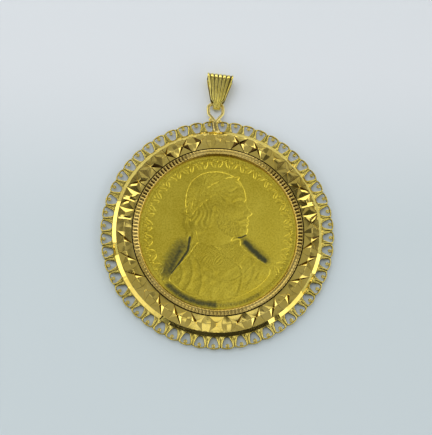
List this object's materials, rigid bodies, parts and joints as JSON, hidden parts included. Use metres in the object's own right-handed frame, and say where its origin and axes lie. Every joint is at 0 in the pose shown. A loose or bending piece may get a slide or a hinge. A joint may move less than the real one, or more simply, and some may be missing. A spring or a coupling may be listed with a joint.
{
  "type": "round coin pendant with bail",
  "caption": "Round gold coin pendant: a coin in a milled bezel, a wide diamond-cut band, a pierced scalloped edge and a fluted swinging bail.",
  "frame": {"origin": "on the resting plane, under the middle of the pendant's length and width", "axes": "+Z out of the face, +Y toward the bail, +X to the right of the face"},
  "size_m": [0.0578, 0.0706, 0.0044],
  "materials": {
    "coin_gold": "high-carat gold with a soft lustre, fine scratches and dark tarnish in patches",
    "bezel_gold": "polished gold, milled",
    "frame_gold": "bright diamond-cut gold",
    "bail_gold": "polished gold, fluted"
  },
  "bodies": {
    "pendant": {"coin": "coin_gold", "coin_bezel": "bezel_gold", "openwork_frame": "frame_gold"},
    "bail": {"bail": "bail_gold"}
  },
  "joints": [
    {"name": "bail_swing", "type": "hinge", "parent": "pendant", "child": "bail", "pos_m": [0.0004, 0.02707, 0.0011], "axis": [0.9925, -0.1219, 0], "range_deg": [-90, 90]}
  ]
}
